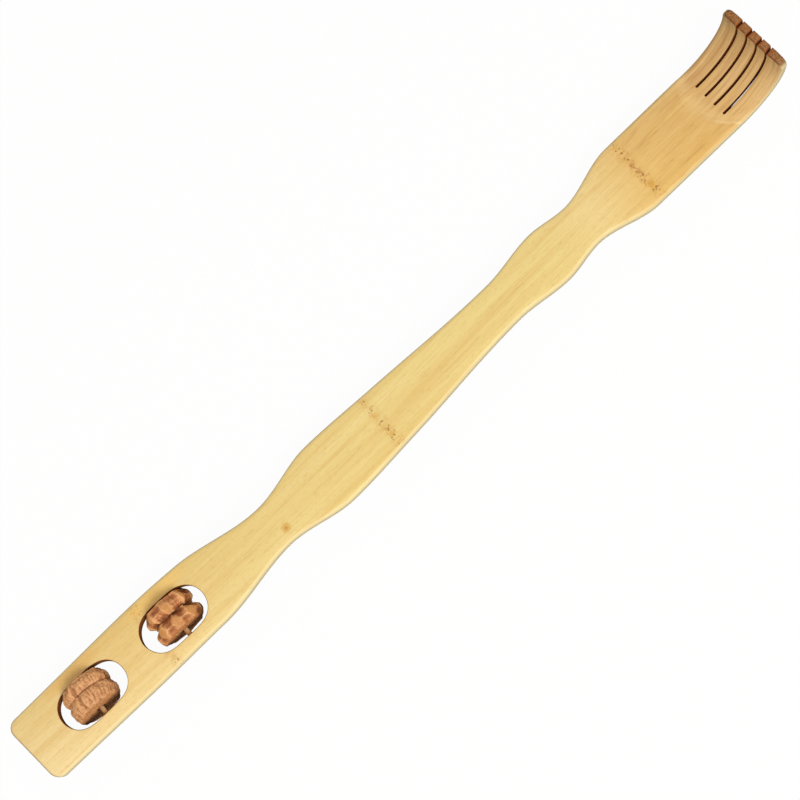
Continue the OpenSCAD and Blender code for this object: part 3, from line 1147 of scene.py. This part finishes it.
def pin_material():
    material, tree, shader = new_material("bamboo_pin")
    place = attribute(tree, "wood", "Vector")
    fibre = noisy(tree, place, (2600, 60, 2600), 2.0)
    colour = mix(tree, span(tree, fibre, 0.35, 0.68), paint(232, 188, 136), paint(186, 132, 86))
    roughness = span(tree, fibre, 0.3, 0.7, 0.45, 0.62)
    finish_material(tree, shader, colour, roughness, fibre, 0.0001, 0.3)
    return material


# Carved wood, with tones of its facets, hollows and lozenges; the darker hollow tone is partly painted
# shade

LOBED_TONES = [paint(230, 162, 102), paint(176, 100, 56), paint(190, 126, 64)]
ROUGH_TONES = [paint(222, 164, 114), paint(204, 142, 94), paint(208, 150, 100)]
HOLLOW_REACH = 0.007


def carved_material(name, skin, fleck, relief, tones):
    """Knife-cut wood, with painted highlights on its ridges and painted shade in its hollows.

    Skin is how far uncut lozenges keep a tone of their own, fleck how strong the fine flecks are, and
    relief how far ridges get painted highlights and hollows painted shade.
    """
    facet, hollow, lozenge = tones
    material, tree, shader = new_material(name)
    place = attribute(tree, "wood", "Vector")
    cut, ridge, end, line = [attribute(tree, key) for key in ("cut", "ridge", "end", "line")]
    grain = noisy(tree, place, (1000, 110, 1000), 3.0, 0.65)
    broad = noisy(tree, place, (190, 70, 190), 2.0)
    blotch = noisy(tree, place, (420, 300, 420), 3.0, 0.6)
    flecks = noisy(tree, place, (900, 520, 900), 2.0, 0.6)
    # The hollow tone is partly the cut wood's own colour and partly painted shade; the ridge layers are
    # painted highlights and painted shade
    colour = tinted(tree, facet, [
        (cut, 0.15, 0.9, 0, 0.8, hollow),
        (broad, 0.4, 0.7, 0, 0.4, paint(188, 118, 72)),
        (grain, 0.5, 0.72, 0, 0.35, paint(150, 90, 54)),
        (grain, 0.26, 0.44, 0.3, 0, paint(232, 176, 124)),
        (blotch, 0.55, 0.72, 0, 0.4, paint(156, 88, 48)),
        (blotch, 0.28, 0.45, 0.4, 0, paint(236, 182, 130)),
        (flecks, 0.5, 0.66, 0, fleck, paint(144, 82, 44)),
        (flecks, 0.32, 0.5, fleck, 0, paint(236, 180, 124)),
        (ridge, 0.1, 0.7, 0, relief, paint(242, 184, 124)),
        (ridge, -0.8, -0.1, relief * 0.7, 0, paint(128, 70, 34)),
        (cut, 0.0, 0.05, skin, 0, lozenge),
    ])
    colour = mix(tree, times(tree, end, fleck * 0.5), colour, paint(200, 128, 70))
    # Painted shadow along the groove
    wear_and_painted_light = times(tree, span(tree, line, 0.3, 1.0, 0.0, 0.8), span(tree, broad, 0.35, 0.6, 0.35, 1.0))
    colour = mix(tree, wear_and_painted_light, colour, paint(92, 48, 24))
    # Painted shade in recesses and where the slat shades the rollers, from ambient occlusion
    sky = add(tree, "AmbientOcclusion", {"Distance": HOLLOW_REACH}, samples=8).outputs["AO"]
    colour = mix(tree, span(tree, sky, 0.2, 0.7, 0.9, 0.0), colour, paint(64, 30, 11))
    roughness = span(tree, grain, 0.3, 0.7, 0.5, 0.72)
    height = calc(tree, "ADD", grain, blotch)
    finish_material(tree, shader, colour, roughness, height, 0.00025, 0.3)
    return material


# Stage

def build_floor():
    """A floor that is white to the camera and dark to all other rays."""
    mesh = bpy.data.meshes.new("floor")
    signs = [(-1, -1), (1, -1), (1, 1), (-1, 1)]
    corners = [(x * FLOOR_HALF, y * FLOOR_HALF, FLOOR_Z) for x, y in signs]
    mesh.from_pydata(corners, [], [(0, 1, 2, 3)])
    floor = bpy.data.objects.new("floor", mesh)
    SCENE.collection.objects.link(floor)
    material = bpy.data.materials.new("floor")
    material.use_nodes = True
    tree = material.node_tree
    tree.nodes.clear()
    seen = add(tree, "LightPath").outputs["Is Camera Ray"]
    tone = mix(tree, seen, (0.06, 0.06, 0.06, 1), (0.95, 0.95, 0.95, 1))
    plain = add(tree, "BsdfDiffuse", {"Color": tone})
    glow = add(tree, "Emission", {"Color": (1, 1, 1, 1), "Strength": 1.0})
    share = times(tree, seen, 0.96)
    both = add(tree, "MixShader", {0: share, 1: plain.outputs[0], 2: glow.outputs[0]})
    add(tree, "OutputMaterial", {"Surface": both.outputs[0]})
    mesh.materials.append(material)


def build_world():
    """A sky that is white to the camera, and dimmer and warmer to other rays."""
    world = bpy.data.worlds.new("world")
    SCENE.world = world
    world.use_nodes = True
    tree = world.node_tree
    tree.nodes.clear()
    seen = add(tree, "LightPath").outputs["Is Camera Ray"]
    strength = calc(tree, "ADD", times(tree, seen, 1 - SKY), SKY)
    tone = mix(tree, seen, (1, 0.95, 0.88, 1), (1, 1, 1, 1))
    back = add(tree, "Background", {"Color": tone, "Strength": strength})
    add(tree, "OutputWorld", {"Surface": back.outputs[0]})


def build_key():
    """A large round lamp that shines at the middle of the part."""
    lamp = bpy.data.lights.new("key", "AREA")
    lamp.shape = "DISK"
    lamp.size = KEY_SIZE
    lamp.energy = KEY_WATTS
    made = bpy.data.objects.new("key", lamp)
    made.location = KEY_PLACE
    made.rotation_euler = (-Vector(KEY_PLACE)).to_track_quat("-Z", "Y").to_euler()
    SCENE.collection.objects.link(made)


def build_camera():
    """Camera above the slat, leaning towards its -Y side, with the slat running up to the right."""
    back = Vector((
        math.sin(CAMERA_LEAN) * math.cos(CAMERA_TILT),
        -math.sin(CAMERA_TILT),
        math.cos(CAMERA_LEAN) * math.cos(CAMERA_TILT),
    ))
    along = Vector((1, 0, 0)) - back * back.x
    along.normalize()
    over = back.cross(along)
    right = IMAGE_ALONG.x * along - IMAGE_ALONG.y * over
    up = IMAGE_ALONG.y * along + IMAGE_ALONG.x * over
    data = bpy.data.cameras.new("camera")
    data.lens = CAMERA_LENS
    data.sensor_width = CAMERA_SENSOR
    camera = bpy.data.objects.new("camera", data)
    turn = Matrix((right, up, back)).transposed().to_4x4()
    camera.matrix_world = Matrix.Translation(LOOK_AT + back * CAMERA_FAR) @ turn
    SCENE.collection.objects.link(camera)
    SCENE.camera = camera


def main():
    build_handle()
    build_rollers()
    pins = pin_material()
    build_axle("upper_axle", 51, pins)
    build_axle("lower_axle", 58, pins)
    build_floor()
    build_world()
    build_key()
    build_camera()
    SCENE.view_settings.view_transform = "Standard"


main()
